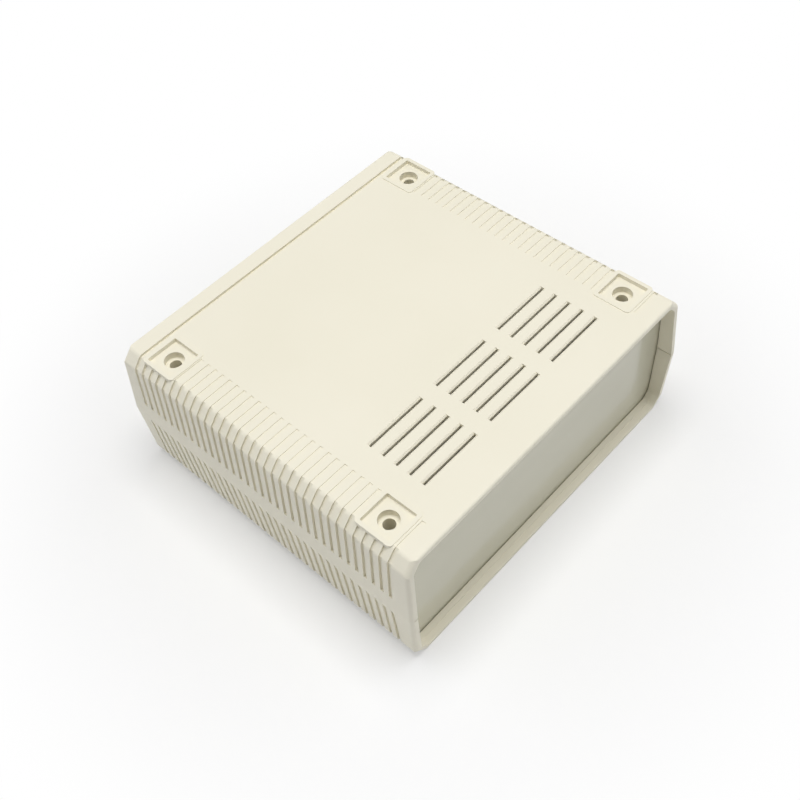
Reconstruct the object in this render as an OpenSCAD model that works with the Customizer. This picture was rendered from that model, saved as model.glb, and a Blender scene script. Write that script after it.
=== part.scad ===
// Desktop instrument enclosure: two moulded half shells, two end panels and four case screws.
// Millimetres, Z up. The case lies on its cover, with the base and its foot sockets on top.
// The front panel looks towards -Y and the grooved sides towards -X and +X.

/* [Case] */
// Width over both sides at the seam
case_w = 200; // [180:1:240]
// Length over the front and rear rims at the two faces
case_l = 185.4; // [167:0.2:240]
// Height of the base shell, seam to base face
base_h = 40; // [34:0.5:60]
// Height of the cover shell, seam to outer face
cover_h = 40; // [30:0.5:60]
// Wall between the two end frames
wall = 2.6; // [2.2:0.1:3]
// How far a side leans in from the seam to its bevel
side_lean = 2; // [1:0.1:4]
// How far a rim leans in from the seam to the face
end_lean = 1.9; // [0:0.1:3]
// Width of the bevel between side and face
bevel_w = 5.2; // [3.6:0.1:7]
// Height of the bevel between side and face
bevel_h = 5.8; // [3.6:0.1:7]
// Rounding at the two bends of the outer profile
bend_r = 3; // [1:0.1:4]

/* [End frames] */
// Length of the thickened frame behind each rim
frame_l = 14; // [12:0.5:17]
// Thickness of a frame at the sides
frame_side = 3.8; // [3.4:0.1:4.4]
// Thickness of a frame at the base face and the cover face
frame_face = 3.2; // [3.2:0.1:4]
// Rounding of the inner corners of a frame
frame_r = 3.6; // [2:0.1:3.8]
// Length of the thinner lip at the mouth of a frame
lip_l = 3.6; // [2:0.1:5]
// Step between the lip and the rest of the frame
lip_step = 0.5; // [0.2:0.1:0.8]
// Rounding of the rim edges along the sides
rim_side_r = 2; // [0.4:0.1:2.6]
// Rounding of the rim edges along the bevels
rim_bevel_r = 2.8; // [0.6:0.1:3]
// Rounding of the rim edges along the two faces
rim_face_r = 1.1; // [0.4:0.1:1.8]
// Gap left at the seam on the inside of the end frames
seam_gap = 0.6; // [0.2:0.05:0.9]
// Width of the seam face that closes on the outside of that gap
seam_land = 1.6; // [1:0.1:2.4]

/* [Panels] */
// Panel thickness
panel_t = 2; // [1.5:0.1:3]
// Depth of a panel face behind its rim
panel_set = 7; // [6:0.1:8.5]
// Depth of the panel slots in the frames
slot_depth = 1.2; // [0.8:0.1:1.6]
// Play between a panel and the front face of its slot
panel_play = 0.5; // [0.2:0.1:1.6]
// Play between a panel edge and its slot
panel_fit = 0.2; // [0.1:0.05:0.4]

/* [Side grooves] */
// Pitch of the grooves along each side
groove_pitch = 5; // [4:0.05:8]
// Plain strip left at each end of a row of grooves
groove_margin = 7; // [6.5:0.1:12]
// Groove width
groove_w = 2; // [0.8:0.1:2.4]
// Groove depth on the two faces
groove_face = 0.4; // [0.2:0.05:0.6]
// Groove depth on the bevels and below them
groove_side = 1; // [0.4:0.05:1.2]
// Groove depth at the square end near the seam
groove_end = 1.2; // [0.6:0.05:1.4]
// Depth of the groove that runs right across the base face
groove_cross = 1.4; // [0.3:0.05:1.6]
// Distance of the inner groove ends from the side of the case
groove_reach = 24.5; // [12:0.5:26]
// Height of the square groove ends above the seam
groove_stop = 8.4; // [5:0.1:16]
// Distance below the seam at which the cover grooves begin
fade_start = 3.5; // [2:0.1:8]
// Length over which the cover grooves reach their depth
fade_l = 5; // [2:0.1:10]

/* [Vents] */
// Vent slots in a group
vent_n = 5; // [1:1:7]
// Pitch of the slots in a group
vent_pitch = 7.9; // [5:0.1:9]
// Length of a vent slot
vent_l = 34.8; // [10:0.1:38]
// Width of a vent slot at its foot
vent_w = 1.2; // [0.8:0.1:2]
// Width of the slope along each long edge of a slot
vent_slope_w = 0.85; // [0.3:0.05:1.2]
// Depth of that slope
vent_slope_h = 0.7; // [0.3:0.05:1.2]
// Groups side by side
vent_groups = 3; // [1:1:3]
// Spacing of the groups
vent_group_pitch = 44.4; // [40:0.1:46]
// Distance of the group centre from the front rim
vent_set = 38.8; // [34:0.1:44]

/* [Foot sockets] */
// Distance of a socket centre from the side of the case at the seam
foot_side = 16.5; // [16:0.1:22]
// Distance of a socket centre from the nearer rim
foot_set = 23; // [22:0.1:28]
// Outer size of the raised square around a socket
pad_size = 21.2; // [20:0.1:22]
// Rounding of the corners of the raised square
pad_r = 2; // [0.5:0.1:4]
// Height of the raised square over the base face
pad_lip = 0.4; // [0.2:0.05:1]
// Size of the square recess for a foot
recess_size = 17.2; // [14:0.1:18]
// Depth of the recess below the raised square
recess_depth = 2.2; // [1:0.1:3]
// Diameter of the plug hole in the recess floor
plug_d = 10; // [8:0.1:12]
// Depth of the plug hole
plug_depth = 3.6; // [2:0.1:6]
// Floor thickness around the recess and the plug hole
socket_wall = 1.8; // [1.2:0.1:2.4]

/* [Case screws] */
// Diameter of the screw access hole
access_d = 6; // [5.8:0.1:7]
// Wall of the base pillars around the access hole
pillar_wall = 2; // [1.5:0.1:3]
// Thickness of the screw seat above the seam
seat_t = 3; // [2:0.1:6]
// Screw shank diameter
screw_d = 2.9; // [2.5:0.1:3.5]
// Screw length under the head
screw_l = 14; // [8:0.5:18]
// Screw head diameter
head_d = 5.4; // [4.5:0.1:5.6]
// Screw head height
head_h = 2.2; // [1.5:0.1:3]
// Width of the cross recess in a screw head
drive_w = 0.9; // [0.6:0.1:1.2]
// Span of the cross recess
drive_l = 3.2; // [2.4:0.1:4]
// Play of the shank in the seat
seat_play = 0.25; // [0.1:0.05:0.5]
// Play of the shank in the cover boss
boss_play = 0.05; // [0.02:0.01:0.1]
// Wall of the cover bosses around the shank
boss_wall = 3; // [2:0.1:4]
// Room below the screw tip in a cover boss
boss_room = 3; // [1:0.5:6]

/* [Inside] */
// Height of the tongue on the base side walls
tongue_h = 1.8; // [1:0.1:3]
// Play around the tongue
tongue_play = 0.15; // [0.1:0.05:0.3]
// Spacing of the board posts across the case
post_dx = 132; // [100:1:140]
// Spacing of the board posts along the case
post_dy = 78; // [40:1:80]
// Distance of the post centre from the case centre towards the rear
post_set = 14; // [12:1:20]
// Height of a board post
post_h = 6; // [3:0.5:12]
// Diameter of a board post
post_d = 6.4; // [5:0.1:8]
// Diameter of the pilot hole in a board post
post_hole = 2.4; // [1.5:0.1:3]

/* [Hidden] */
$fn = 64;
steps = 5;
shell_col = [0.90, 0.87, 0.78];
panel_col = [0.80, 0.79, 0.74];
steel_col = [0.66, 0.67, 0.68];
half_l = case_l / 2;
foot_x = case_w / 2 - foot_side;
foot_y = half_l - foot_set;
groove_n = floor((case_l - 2 * groove_margin) / groove_pitch);
hollow_l = half_l - frame_l;
slot_front = -half_l + panel_set - panel_play;
slot_back = -half_l + panel_set + panel_t;
recess_v = base_h + pad_lip - recess_depth;
plug_v = recess_v - plug_depth;
pillar_d = access_d + 2 * pillar_wall;
socket_d = plug_d + 2 * socket_wall;
boss_hole = screw_d + 2 * boss_play;
boss_d = boss_hole + 2 * boss_wall;
tongue_t = wall / 2 - tongue_play;

// Plane geometry used by the profiles
function unit(v) = v / norm(v);
function left_of(d) = [-d[1], d[0]];
function cross2(a, b) = a[0] * b[1] - a[1] * b[0];
function meet(p, d, q, e) = p + d * cross2(q - p, e) / cross2(d, e);
function turn(a, b) = acos(unit(a) * unit(b));

// Right half of a shell outline, from the seam over the side and the bevel to the middle of the face
function outline(h) = [
    [case_w / 2, 0],
    [case_w / 2 - side_lean, h - bevel_h],
    [case_w / 2 - side_lean - bevel_w, h],
    [0, h]
];

// The same outline moved inwards by one distance at the side and bevel and one at the face
function inset(h, side, face) =
    let (p = outline(h))
    let (d = [unit(p[1] - p[0]), unit(p[2] - p[1]), unit(p[3] - p[2])])
    let (q = [p[0] + side * left_of(d[0]), p[1] + side * left_of(d[1]), p[2] + face * left_of(d[2])])
    [
        meet(q[0], d[0], [0, 0], [1, 0]),
        meet(q[0], d[0], q[1], d[1]),
        meet(q[1], d[1], q[2], d[2]),
        [0, h - face]
    ];

// Points of a bend of radius r at p, between the directions a and b, in n steps
function bend(p, a, b, r, n) =
    let (w = turn(a, b))
    let (m = p - a * r * tan(w / 2) + r * left_of(a))
    [for (i = [0:n]) m - r * (left_of(a) * cos(w * i / n) - a * sin(w * i / n))];

// Middle of a bend of radius r at p
function bend_middle(p, a, b, r) = p - a * r * tan(turn(a, b) / 2) + r * left_of(a);

// Right half of an outline with its bends in n steps
function half(p, r, n) =
    let (a = unit(p[1] - p[0]), b = unit(p[2] - p[1]), c = unit(p[3] - p[2]))
    concat([p[0]], bend(p[1], a, b, r, n), bend(p[2], b, c, r, n));

// A right half and its mirror image on the left
module mirrored(right) {
    polygon(concat(right, [for (i = [len(right) - 1:-1:0]) [-right[i][0], right[i][1]]]));
}

// Both halves of an outline with its bends in n steps, carried on below the seam by drop
module section(p, r, drop, n) {
    mirrored(concat([[p[0][0], -drop]], half(p, r, n)));
}

// Outside of a shell, with true arcs at its bends
module outer_section(h) {
    p = outline(h);
    mirrored(half(p, bend_r, 1));
    for (i = [1, 2], s = [-1, 1]) {
        m = bend_middle(p[i], unit(p[i] - p[i - 1]), unit(p[i + 1] - p[i]), bend_r);
        translate([s * m[0], m[1]]) circle(r = bend_r);
    }
}

// A plane figure drawn in X and Z, carried along Y from y0 to y1
module run(y0, y1) {
    translate([0, y1, 0]) rotate([90, 0, 0]) linear_extrude(height = y1 - y0) children();
}

// The same thing at the front and at the rear end
module both_ends() {
    children();
    mirror([0, 1, 0]) children();
}

// The same thing on the left and on the right side
module both_sides() {
    children();
    mirror([1, 0, 0]) children();
}

// The same thing at the four foot sockets
module at_feet() {
    for (x = [-1, 1], y = [-1, 1]) translate([x * foot_x, y * foot_y, 0]) children();
}

// The same thing at the four board posts
module at_posts() {
    for (x = [-1, 1], y = [-1, 1])
        translate([x * post_dx / 2, post_set + y * post_dy / 2, 0]) children();
}

// Position of the front rim at the height v over the seam
function rim_y(h, v) = -half_l - end_lean * (1 - v / h);

// Cutter that rounds the leaning front rim along the outline from p to q, which meets it at the angle w
module rim_cutter(h, p, q, r) {
    tilt = -atan(end_lean / h);
    d = [q[0] - p[0], (q[1] - p[1]) / cos(tilt)];
    w = acos(-sin(tilt) * unit(q - p)[0]);
    t = r / tan(w / 2);
    touch = t * [-cos(w), sin(w)];
    clear = touch + 1.5 * [sin(w), cos(w)];
    translate([p[0], rim_y(h, p[1]), p[1]]) rotate([tilt, 0, 0]) rotate([0, atan2(d[0], d[1]), 0])
        translate([0, 0, -5]) linear_extrude(height = norm(d) + 10) difference() {
            polygon([[-t, 0], [-t, -1], [1.5, -1], clear, touch, [-t, r]]);
            translate([-t, r]) circle(r = r);
        }
}

// Figure of one groove on the right side, from its seam end over the bevel onto the face
module groove_figure(h, seam_end, reach, depth) {
    f = inset(h, groove_side, depth);
    far = case_w / 2 + 2;
    rim = [[reach, h - depth], [reach, h + 2], [far, h + 2], [far, seam_end[0][1]]];
    polygon(concat(seam_end, [f[1], f[2]], rim));
}

// Position of the side at the height v over the seam
function side_x(h, v) = case_w / 2 - side_lean * v / (h - bevel_h);

// Rows of grooves on both sides, the rearmost carried right across if asked
module grooves(h, seam_end, across) {
    for (i = [0:groove_n - 1]) {
        y = (i - (groove_n - 1) / 2) * groove_pitch;
        both_sides() run(y - groove_w / 2, y + groove_w / 2) {
            if (across && i == groove_n - 1)
                groove_figure(h, seam_end, -1, groove_cross);
            else
                groove_figure(h, seam_end, case_w / 2 - groove_reach, groove_face);
        }
    }
}

// Solid of a shell whose rims lean in from the seam at z = 0 to the face at z = h
module shell_block(h) {
    low = rim_y(h, -1);
    high = rim_y(h, h + 1);
    intersection() {
        run(low, -low) outer_section(h);
        rotate([90, 0, 90]) translate([0, 0, -case_w / 2 - 1]) linear_extrude(height = case_w + 2)
            polygon([[low, -1], [-low, -1], [-high, h + 1], [high, h + 1]]);
    }
}

// The same solid with its rim edges rounded, first along the sides, then along the bevels and the face
module rounded_block(h) {
    p = outline(h);
    difference() {
        difference() {
            difference() {
                shell_block(h);
                both_ends() both_sides() rim_cutter(h, p[0], p[1], rim_side_r);
            }
            both_ends() both_sides() rim_cutter(h, p[1], p[2], rim_bevel_r);
        }
        both_ends() rim_cutter(h, [p[2][0], h], [-p[2][0], h], rim_face_r);
    }
}

// Half shell open at both ends, with end frames and panel slots
module shell_blank(h) {
    out = -half_l - end_lean - 1;
    difference() {
        rounded_block(h);
        run(-hollow_l, hollow_l) section(inset(h, wall, wall), bend_r, 1, steps);
        run(out, -out) section(inset(h, frame_side, frame_face), frame_r, 1, steps);
        both_ends() {
            run(out, -half_l + lip_l)
                section(inset(h, frame_side, frame_face - lip_step), frame_r, 1, steps);
            run(slot_front, slot_back)
                section(inset(h, frame_side - slot_depth, frame_face - slot_depth), frame_r, 1, steps);
        }
    }
}

// Square with rounded corners
module rounded_square(size, r) {
    square([size - 2 * r, size], center = true);
    square([size, size - 2 * r], center = true);
    for (x = [-1, 1], y = [-1, 1]) translate([x * (size / 2 - r), y * (size / 2 - r)]) circle(r = r);
}

// Material of one foot socket and of the screw pillar below it
module socket_body() {
    translate([0, 0, base_h - 2]) linear_extrude(height = 2 + pad_lip) rounded_square(pad_size, pad_r);
    translate([0, 0, recess_v - socket_wall]) linear_extrude(height = base_h - 1 - recess_v + socket_wall)
        rounded_square(pad_size - 0.4, pad_r);
    translate([0, 0, plug_v - socket_wall]) cylinder(d = socket_d, h = plug_depth);
    cylinder(d = pillar_d, h = plug_v - 1);
}

// Openings of one foot socket, from the foot recess down to the screw seat
module socket_cut() {
    translate([0, 0, recess_v]) linear_extrude(height = recess_depth + 1) rounded_square(recess_size, 0.6);
    translate([0, 0, plug_v]) cylinder(d = plug_d, h = plug_depth + 1);
    translate([0, 0, seat_t]) cylinder(d = access_d, h = plug_v - seat_t + 1);
    translate([0, 0, -1]) cylinder(d = screw_d + 2 * seat_play, h = seat_t + 2);
}

// Cross-section of a vent slot, with a slope along both edges that goes on a little above the face
module vent_figure() {
    above = 0.2;
    foot = vent_w / 2;
    mouth = foot + vent_slope_w * (vent_slope_h + above) / vent_slope_h;
    polygon([
        [-foot, base_h - wall - 1],
        [foot, base_h - wall - 1],
        [foot, base_h - vent_slope_h],
        [mouth, base_h + above],
        [-mouth, base_h + above],
        [-foot, base_h - vent_slope_h]
    ]);
}

// Vent slots through the base face
module vents() {
    for (g = [0:vent_groups - 1], i = [0:vent_n - 1]) {
        x = (g - (vent_groups - 1) / 2) * vent_group_pitch;
        y = -half_l + vent_set + (i - (vent_n - 1) / 2) * vent_pitch;
        translate([x - vent_l / 2, y, 0]) rotate([90, 0, 90]) linear_extrude(height = vent_l) vent_figure();
    }
}

// Tongue along the base side walls, or with play the room for it in the cover
module tongue(play) {
    inner = case_w / 2 - wall;
    both_sides() translate([inner - 4 * play, -hollow_l + 2 - play, -tongue_h - play])
        cube([tongue_t + 5 * play, 2 * (hollow_l - 2 + play), tongue_h + play + 0.8]);
}

// Base with the foot sockets, the vents and the screw pillars
module base_shell() {
    color(shell_col) translate([0, 0, cover_h]) difference() {
        union() {
            difference() {
                shell_blank(base_h);
                grooves(base_h, [[side_x(base_h, groove_stop) - groove_end, groove_stop]], true);
            }
            at_feet() socket_body();
            at_posts() translate([0, 0, base_h - wall - post_h]) cylinder(d = post_d, h = post_h + 1);
            tongue(0);
        }
        at_feet() socket_cut();
        at_posts() translate([0, 0, base_h - wall - post_h - 1]) cylinder(d = post_hole, h = post_h + 1);
        vents();
    }
}

// Cover with the bosses that take the case screws
module cover_shell() {
    fade = [
        [side_x(cover_h, fade_start), fade_start],
        [side_x(cover_h, fade_start + fade_l) - groove_side, fade_start + fade_l]
    ];
    color(shell_col) translate([0, 0, cover_h]) mirror([0, 0, 1]) difference() {
        union() {
            difference() {
                shell_blank(cover_h);
                grooves(cover_h, fade, false);
            }
            at_feet() cylinder(d = boss_d, h = cover_h - wall / 2);
        }
        at_feet() translate([0, 0, -1]) cylinder(d = boss_hole, h = screw_l - seat_t + boss_room + 1);
        mirror([0, 0, 1]) tongue(tongue_play);
        both_ends() translate([seam_land - case_w / 2, -half_l - end_lean - 1, -1])
            cube([case_w - 2 * seam_land, frame_l + end_lean + 1, 1 + seam_gap]);
    }
}

// Outline of a panel: it stands in the cover slot and has play at the sides and at the top
module panel_figure() {
    side = frame_side - slot_depth + panel_fit;
    face = frame_face - slot_depth;
    up = half(inset(base_h, side, face + panel_fit), frame_r, steps);
    down = half(inset(cover_h, side, face), frame_r, steps);
    low = [for (i = [len(down) - 1:-1:1]) [down[i][0], cover_h - down[i][1]]];
    mirrored(concat(low, [for (q = up) [q[0], cover_h + q[1]]]));
}

// Plain plate behind the front rim
module front_panel() {
    color(panel_col) run(slot_back - panel_t, slot_back) panel_figure();
}

// Plain plate behind the rear rim
module rear_panel() {
    color(panel_col) run(-slot_back, -slot_back + panel_t) panel_figure();
}

// One pan head screw, its head on the seat in the base pillar
module case_screw() {
    difference() {
        union() {
            cylinder(d = head_d, h = head_h);
            translate([0, 0, -screw_l]) cylinder(d = screw_d, h = screw_l + 0.5);
        }
        for (a = [0, 90]) rotate([0, 0, a])
            translate([-drive_l / 2, -drive_w / 2, head_h / 2]) cube([drive_l, drive_w, head_h]);
    }
}

// Four screws that hold the base to the cover
module case_screws() {
    color(steel_col) translate([0, 0, cover_h + seat_t]) at_feet() case_screw();
}

base_shell();
cover_shell();
front_panel();
rear_panel();
case_screws();
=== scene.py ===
import bpy
import numpy as np
from mathutils import Matrix, Vector


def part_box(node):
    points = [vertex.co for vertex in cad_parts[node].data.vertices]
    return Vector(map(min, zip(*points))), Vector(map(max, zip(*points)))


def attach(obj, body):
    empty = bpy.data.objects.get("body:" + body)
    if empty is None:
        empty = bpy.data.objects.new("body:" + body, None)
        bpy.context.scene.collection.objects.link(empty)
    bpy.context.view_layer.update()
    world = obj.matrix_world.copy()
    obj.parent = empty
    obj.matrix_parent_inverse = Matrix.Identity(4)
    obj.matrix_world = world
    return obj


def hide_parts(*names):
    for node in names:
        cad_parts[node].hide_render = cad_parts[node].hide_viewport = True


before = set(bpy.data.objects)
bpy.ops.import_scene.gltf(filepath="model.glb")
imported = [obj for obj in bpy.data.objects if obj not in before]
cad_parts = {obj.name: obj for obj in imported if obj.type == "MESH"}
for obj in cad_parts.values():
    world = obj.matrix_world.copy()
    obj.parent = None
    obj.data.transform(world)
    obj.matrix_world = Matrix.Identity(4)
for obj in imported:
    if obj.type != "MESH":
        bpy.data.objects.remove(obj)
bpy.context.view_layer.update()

# Cover shell: the half that the case lies on here, a moulding in cream ABS with grooved sides.
# Its outside is spark-eroded in the tool to a fine matt grain, and four bosses inside it take
# the case screws.


def linear(code):
    """Linear red, green, blue and alpha of an sRGB hex colour, by the sRGB transfer curve."""
    c = np.array([int(code[i:i + 2], 16) for i in (1, 3, 5)]) / 255.0
    c = np.where(c <= 0.04045, c / 12.92, ((c + 0.055) / 1.055) ** 2.4)
    return (*c.tolist(), 1.0)


def add(tree, kind, inputs=(), **settings):
    """A new node with its settings, and each input set to a value or linked to a socket."""
    node = tree.nodes.new(kind)
    for name, value in settings.items():
        setattr(node, name, value)
    for name, value in dict(inputs).items():
        if isinstance(value, bpy.types.NodeSocket):
            tree.links.new(value, node.inputs[name])
        else:
            node.inputs[name].default_value = value
    return node


def blank(name):
    """A new material of that name with an empty node tree, and the tree."""
    material = bpy.data.materials.new(name)
    material.use_nodes = True
    material.node_tree.nodes.clear()
    return material, material.node_tree


# Cream ABS as it leaves a spark-eroded tool: an even matt skin with a wide soft sheen. The melt
# leaves slow, barely visible changes of tone, and the grain of about 0.3 mm is drawn at 0.6 mm
# because it would not show at its own size.
shell_abs, tree = blank("moulded_cream_abs")
place = add(tree, "ShaderNodeTexCoord").outputs["Object"]
flow_mm, grain_mm, sheen_mm = 70.0, 0.6, 9.0
relief_mm, abs_ior = 0.1, 1.53
least, most = 0.3, 0.7  # nearly all of a noise lies between these
flow = add(tree, "ShaderNodeTexNoise", {"Vector": place, "Scale": 1000 / flow_mm, "Detail": 3.0})
grain = add(tree, "ShaderNodeTexNoise", {"Vector": place, "Scale": 1000 / grain_mm, "Detail": 2.0})
sheen = add(tree, "ShaderNodeTexNoise", {"Vector": place, "Scale": 1000 / sheen_mm, "Detail": 4.0})
tone = add(tree, "ShaderNodeValToRGB", {"Fac": flow.outputs["Fac"]})
for stop, at, code in zip(tone.color_ramp.elements, (least, most), ("#ECE7D4", "#EFEAD8")):
    stop.position, stop.color = at, linear(code)
rough = add(tree, "ShaderNodeMapRange", {"Value": sheen.outputs["Fac"], "From Min": least, "From Max": most,
                                         "To Min": 0.50, "To Max": 0.58})
skin = add(tree, "ShaderNodeBump", {"Height": grain.outputs["Fac"], "Strength": 0.12,
                                    "Distance": relief_mm / 1000})
body = add(tree, "ShaderNodeBsdfPrincipled", {"Base Color": tone.outputs["Color"], "IOR": abs_ior,
                                              "Roughness": rough.outputs["Result"],
                                              "Normal": skin.outputs["Normal"]})
add(tree, "ShaderNodeOutputMaterial", {"Surface": body.outputs["BSDF"]})

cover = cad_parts["cover_shell"]
cover.data.materials.clear()
cover.data.materials.append(shell_abs)

# End panels: two plain plates that stand in slots behind the rims. They are cut from a smooth
# grey-white ABS sheet, which has a little more gloss than the moulded shells.

# Extruded ABS sheet: smooth and glossy enough to mirror the rim softly, with slow changes of tone
# along its length and a faint orange peel from the rolls.
panel_abs, tree = blank("grey_white_abs_sheet")
place = add(tree, "ShaderNodeTexCoord").outputs["Object"]
drawn_mm, orange_mm = 25.0, 3.0
stretched = (0.3, 1.0, 1.0)
along = add(tree, "ShaderNodeMapping", {"Vector": place, "Scale": stretched})
drawn = add(tree, "ShaderNodeTexNoise", {"Vector": along.outputs["Vector"], "Scale": 1000 / drawn_mm,
                                         "Detail": 2.0})
orange = add(tree, "ShaderNodeTexNoise", {"Vector": place, "Scale": 1000 / orange_mm, "Detail": 1.0})
tone = add(tree, "ShaderNodeValToRGB", {"Fac": drawn.outputs["Fac"]})
for stop, at, code in zip(tone.color_ramp.elements, (least, most), ("#D1CEB9", "#D4D1BD")):
    stop.position, stop.color = at, linear(code)
rough = add(tree, "ShaderNodeMapRange", {"Value": drawn.outputs["Fac"], "From Min": least, "From Max": most,
                                         "To Min": 0.13, "To Max": 0.18})
skin = add(tree, "ShaderNodeBump", {"Height": orange.outputs["Fac"], "Strength": 0.04,
                                    "Distance": relief_mm / 1000})
body = add(tree, "ShaderNodeBsdfPrincipled", {"Base Color": tone.outputs["Color"], "IOR": abs_ior,
                                              "Roughness": rough.outputs["Result"],
                                              "Normal": skin.outputs["Normal"]})
add(tree, "ShaderNodeOutputMaterial", {"Surface": body.outputs["BSDF"]})

for name in ("front_panel", "rear_panel"):
    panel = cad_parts[name]
    panel.data.materials.clear()
    panel.data.materials.append(panel_abs)

# Base shell: the half on top here, with the foot sockets, the vents and the screw pillars.
# It comes out of a tool of its own, in the same cream ABS, and sits on the cover by a tongue
# along its side walls.
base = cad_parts["base_shell"]
base.data.materials.clear()
base.data.materials.append(shell_abs)

# Case screws: four pan head screws of zinc plated steel, deep in the base pillars.
# They are driven through the foot sockets, and their thread, rolled on a wire blank, forms its own
# way in the bosses of the cover.


def screw(length, head_r, head_h):
    """Points and faces of one screw on the z axis, with the underside of its head at z = 0.

    A profile of radius and height runs from the tip up the shank, out under the head, up its rim and
    over a quarter ellipse to the middle of the top, and is turned about the axis. On the shank a
    narrow ridge, which fades out at the tip, adds to the radius where the height in pitches less the
    turn is near a half. On the head the height drops inside two crossed slots with sloping flanks,
    and the drop grows towards the middle. Lengths are in metres and the ridge's half width in pitches.
    """
    pitch, root_r, crest, ridge_half = 0.00127, 0.00105, 0.0004, 0.34
    point, tip_share = 0.0015, 0.55
    edge, turn_in, rim = 0.00018, 0.000054, 0.38 * head_h
    sides, shank_rows, seat_rows, dome_rows, dome_end = 56, 120, 5, 30, np.radians(87.0)
    up = np.linspace(-length, 0.0, shank_rows)
    sharp = np.clip((up + length) / point, 0.0, 1.0)
    dome = np.linspace(0.0, dome_end, dome_rows)
    r = np.concatenate([root_r * (tip_share + (1.0 - tip_share) * sharp),
                        np.linspace(root_r + edge, head_r - edge, seat_rows),
                        [head_r - turn_in, head_r], head_r * np.cos(dome)])
    z = np.concatenate([up, np.zeros(seat_rows), [turn_in, edge], rim + (head_h - rim) * np.sin(dome)])
    on_shank = np.concatenate([sharp, np.zeros(len(r) - len(up))])
    on_head = np.concatenate([np.zeros(len(r) - len(dome)), np.ones(len(dome))])
    turn = np.arange(sides) / sides
    phase = (z[:, None] / pitch - turn) % 1.0
    ridge = np.clip(1.0 - np.abs(phase - 0.5) / ridge_half, 0.0, 1.0)
    r = r[:, None] + crest * ridge * on_shank[:, None]
    x, y = r * np.cos(2 * np.pi * turn), r * np.sin(2 * np.pi * turn)
    slot_w, slot_l, flank, end_flank, deep, rise = 0.00045, 0.0016, 0.00012, 0.00036, 0.0013, 0.45
    wide = np.minimum(np.abs(x), np.abs(y))
    slot = np.clip((slot_w - wide) / flank, 0.0, 1.0) * np.clip((slot_l - r) / end_flank, 0.0, 1.0)
    z = z[:, None] - deep * slot * (1.0 - rise * r / slot_l) * on_head[:, None]
    poles = [(0.0, 0.0, -length), (0.0, 0.0, head_h - deep)]
    points = np.concatenate([np.stack([x, y, z], axis=-1).reshape(-1, 3), poles])
    rows, here = len(r), np.arange(sides)
    ahead = (here + 1) % sides
    low = sides * np.arange(rows - 1)[:, None]
    high, last = low + sides, sides * (rows - 1)
    quads = np.stack([low + here, low + ahead, high + ahead, high + here], axis=-1).reshape(-1, 4)
    tip = np.stack([np.full(sides, rows * sides), ahead, here], axis=-1)
    top = np.stack([np.full(sides, rows * sides + 1), last + here, last + ahead], axis=-1)
    return points, quads.tolist() + tip.tolist() + top.tolist()


lowest, highest = (np.array(corner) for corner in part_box("case_screws"))
head_r, head_h, crease = 0.0027, 0.0022, np.radians(40.0)
points, faces = screw(highest[2] - head_h - lowest[2], head_r, head_h)
reach = highest[:2] - head_r
seats = [(x * reach[0], y * reach[1], highest[2] - head_h) for x in (-1, 1) for y in (-1, 1)]
threaded = bpy.data.meshes.new("threaded_screws")
threaded.from_pydata(np.concatenate([points + seat for seat in seats]).tolist(), [],
                     [[k + n * len(points) for k in face] for n in range(len(seats)) for face in faces])
threaded.polygons.foreach_set("use_smooth", np.ones(len(threaded.polygons), dtype=bool))
threaded.set_sharp_from_angle(angle=crease)
screws = bpy.data.objects.new("threaded_screws", threaded)
bpy.context.scene.collection.objects.link(screws)
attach(screws, "root")
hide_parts("case_screws")

# Zinc plated steel: bright bluish metal with a slightly uneven sheen from the plating bath.
screw_zinc, tree = blank("zinc_plated_steel")
place = add(tree, "ShaderNodeTexCoord").outputs["Object"]
bath_mm = 0.8
bath = add(tree, "ShaderNodeTexNoise", {"Vector": place, "Scale": 1000 / bath_mm, "Detail": 3.0})
tone = add(tree, "ShaderNodeValToRGB", {"Fac": bath.outputs["Fac"]})
for stop, at, code in zip(tone.color_ramp.elements, (least, most), ("#B9BDC4", "#CDD0D4")):
    stop.position, stop.color = at, linear(code)
rough = add(tree, "ShaderNodeMapRange", {"Value": bath.outputs["Fac"], "From Min": least, "From Max": most,
                                         "To Min": 0.28, "To Max": 0.42})
body = add(tree, "ShaderNodeBsdfPrincipled", {"Base Color": tone.outputs["Color"], "Metallic": 1.0,
                                              "Roughness": rough.outputs["Result"]})
add(tree, "ShaderNodeOutputMaterial", {"Surface": body.outputs["BSDF"]})

threaded.materials.append(screw_zinc)

# Ground: a wide sheet of white paper that the case lies on.
# It throws the light of the soft box back at the sides of the case, and beyond the shadow the eye
# sees it plain white.
paper = bpy.data.meshes.new("ground")
half = 6.0
corners = [(-half, -half, 0.0), (half, -half, 0.0), (half, half, 0.0), (-half, half, 0.0)]
paper.from_pydata(corners, [], [(0, 1, 2, 3)])
ground = bpy.data.objects.new("ground", paper)
bpy.context.scene.collection.objects.link(ground)


def eye_rays(tree):
    """Socket that is 1 for rays from the camera, straight or by way of gloss or glass, and else 0.

    It is the sum of the camera, glossy and transmission flags of the ray, held to 1.
    """
    ray = add(tree, "ShaderNodeLightPath").outputs
    eye = add(tree, "ShaderNodeMath", {0: ray["Is Camera Ray"], 1: ray["Is Glossy Ray"]}, operation="ADD")
    eye = add(tree, "ShaderNodeMath", {0: eye.outputs["Value"], 1: ray["Is Transmission Ray"]},
              operation="ADD", use_clamp=True)
    return eye.outputs["Value"]


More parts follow.
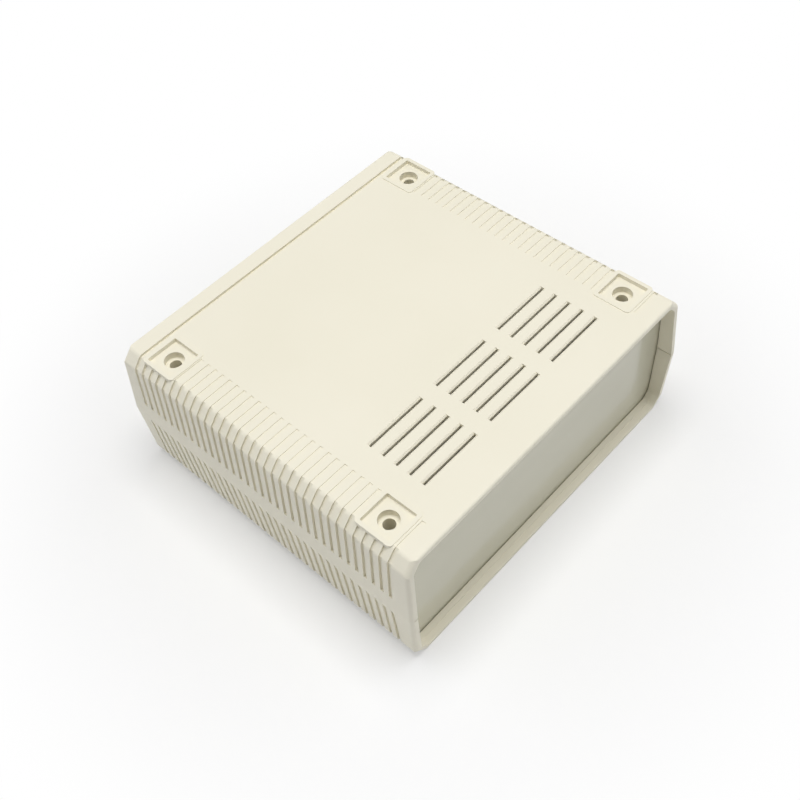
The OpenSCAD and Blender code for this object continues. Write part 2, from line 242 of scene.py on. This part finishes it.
# Matt paper, which scatters nearly all light. To the eye a share of plain white is mixed in, small
# beside the case, where it keeps the shadow, and growing to all of it further out.
white_paper, tree = blank("white_paper")
seen = eye_rays(tree)
body = add(tree, "ShaderNodeBsdfDiffuse", {"Color": linear("#FAFAFA")})
place = add(tree, "ShaderNodeTexCoord").outputs["Object"]
away = add(tree, "ShaderNodeVectorMath", {0: place}, operation="LENGTH")
shadow_mm, white_mm, near_share = 125.0, 260.0, 0.25
far = add(tree, "ShaderNodeMapRange", {"Value": away.outputs["Value"], "From Min": shadow_mm / 1000,
                                       "From Max": white_mm / 1000, "To Min": near_share},
          interpolation_type="SMOOTHSTEP")
plain = add(tree, "ShaderNodeMath", {0: seen, 1: far.outputs["Result"]}, operation="MULTIPLY")
white = add(tree, "ShaderNodeEmission", {"Color": linear("#FFFFFF"), "Strength": 1.0})
sheet = add(tree, "ShaderNodeMixShader", {0: plain.outputs["Value"], 1: body.outputs["BSDF"],
                                          2: white.outputs["Emission"]})
add(tree, "ShaderNodeOutputMaterial", {"Surface": sheet.outputs["Shader"]})
paper.materials.append(white_paper)

# Light: one wide soft box above the case, and a slightly cool room with pale walls at the front right
# and the rear left. Its other two walls are dark, so grooves and recesses stay deep. The eye sees the
# room white, as the paper runs up into it.
box = bpy.data.lights.new("soft_box", "AREA")
box.shape, box.size, box.size_y = "RECTANGLE", 0.8, 0.8
box.energy = 14.0
box.color = linear("#FFFEFB")[:3]
lamp = bpy.data.objects.new("soft_box", box)
lamp.location = (0.05, -0.03, 1.5)
bpy.context.scene.collection.objects.link(lamp)

world = bpy.data.worlds.new("room")
bpy.context.scene.world = world
world.use_nodes = True
tree = world.node_tree
tree.nodes.clear()
way = add(tree, "ShaderNodeTexCoord").outputs["Generated"]
flat, front_right = (1.0, 1.0, 0.0), (0.7071, -0.7071, 0.0)
level = add(tree, "ShaderNodeVectorMath", {0: way, 1: flat}, operation="MULTIPLY")
level = add(tree, "ShaderNodeVectorMath", {0: level.outputs["Vector"]}, operation="NORMALIZE")
facing = add(tree, "ShaderNodeVectorMath", {0: level.outputs["Vector"], 1: front_right},
             operation="DOT_PRODUCT")
aside = add(tree, "ShaderNodeMath", {0: facing.outputs["Value"]}, operation="ABSOLUTE")
dark_to, pale_from, pale_light = 0.65, 0.8, 0.84
pale = add(tree, "ShaderNodeMapRange", {"Value": aside.outputs["Value"], "From Min": dark_to,
                                        "From Max": pale_from, "To Max": pale_light},
           interpolation_type="SMOOTHSTEP")
room = add(tree, "ShaderNodeBackground", {"Color": linear("#F4F6FB"), "Strength": pale.outputs["Result"]})
white = add(tree, "ShaderNodeBackground", {"Color": linear("#FFFFFF"), "Strength": 1.0})
air = add(tree, "ShaderNodeMixShader", {0: eye_rays(tree), 1: room.outputs["Background"],
                                        2: white.outputs["Background"]})
add(tree, "ShaderNodeOutputWorld", {"Surface": air.outputs["Shader"]})

# Camera: looks down at a corner of the case from above its front left, slightly turned about
# its own axis.
lens = bpy.data.cameras.new("camera")
lens.sensor_width, lens.lens = 36.0, 49.368
lens.clip_start, lens.clip_end = 0.01, 50.0
camera = bpy.data.objects.new("camera", lens)
stand = Vector((-0.24538, -0.25851, 0.46686))
right, up = Vector((0.67167, -0.73785, -0.06661)), Vector((0.60612, 0.49559, 0.6221))
turned = Matrix((right, up, right.cross(up))).transposed()
camera.matrix_world = Matrix.Translation(stand) @ turned.to_4x4()
bpy.context.scene.collection.objects.link(camera)
bpy.context.scene.camera = camera
bpy.context.scene.view_settings.view_transform = "Standard"
